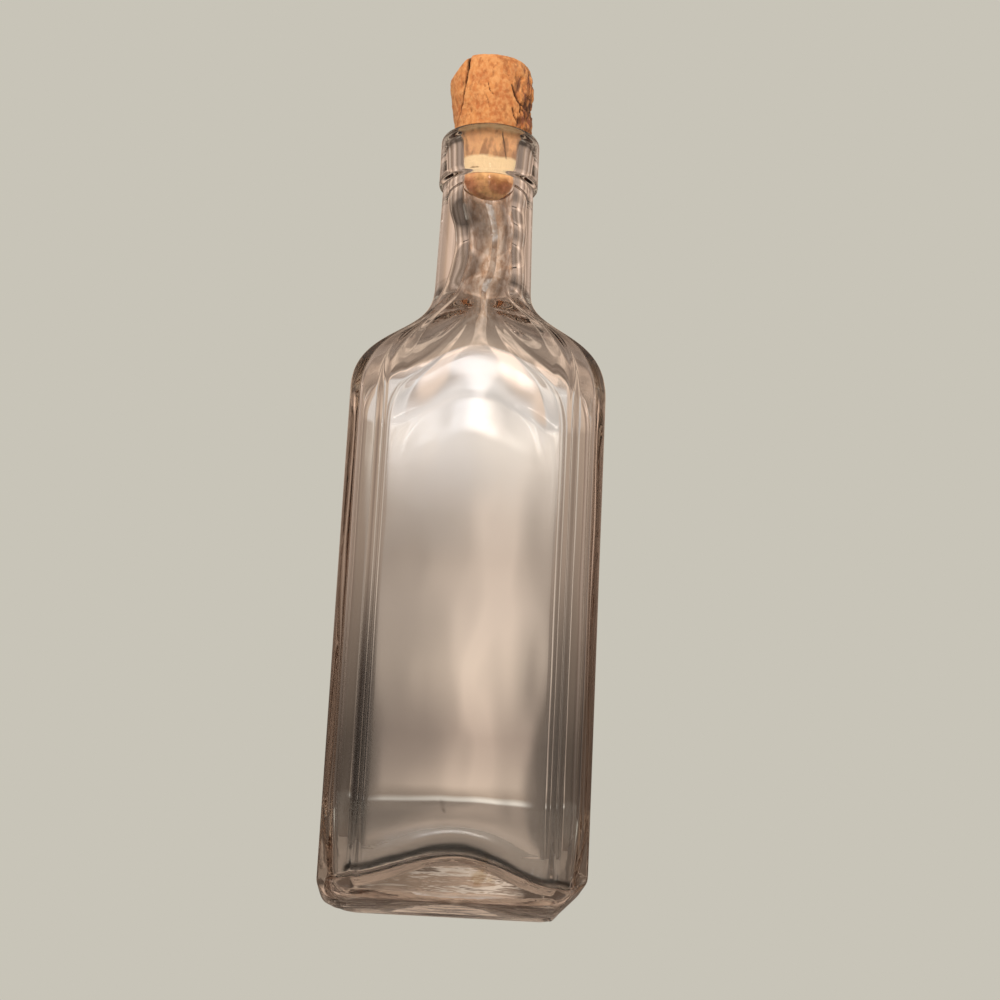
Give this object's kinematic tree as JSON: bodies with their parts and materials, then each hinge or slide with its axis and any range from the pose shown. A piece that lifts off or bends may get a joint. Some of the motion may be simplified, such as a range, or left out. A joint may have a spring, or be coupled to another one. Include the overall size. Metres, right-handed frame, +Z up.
{
  "type": "apothecary bottle",
  "caption": "Rectangular clear glass apothecary bottle with cut corners, sloping shoulders, a round neck, a banded lip and a natural cork pressed into its mouth.",
  "frame": {"origin": "middle of the face that the bottle stands on", "axes": "+Z up along the neck's axis, +X across the wide panels, -Y out of the front panel"},
  "size_m": [0.064, 0.04, 0.2218],
  "materials": {
    "clear_glass": "thick clear glass with a faint warm tint, slightly wavy, polished",
    "natural_cork": "natural cork, orange-tan, with dark pores and one long crack"
  },
  "bodies": {
    "bottle": {"glass_bottle": "clear_glass"},
    "cork": {"cork_stopper": "natural_cork"}
  },
  "joints": [
    {"name": "cork_pull", "type": "slide", "parent": "bottle", "child": "cork", "axis": [0, 0, 1], "range_m": [0, 0.04]}
  ]
}
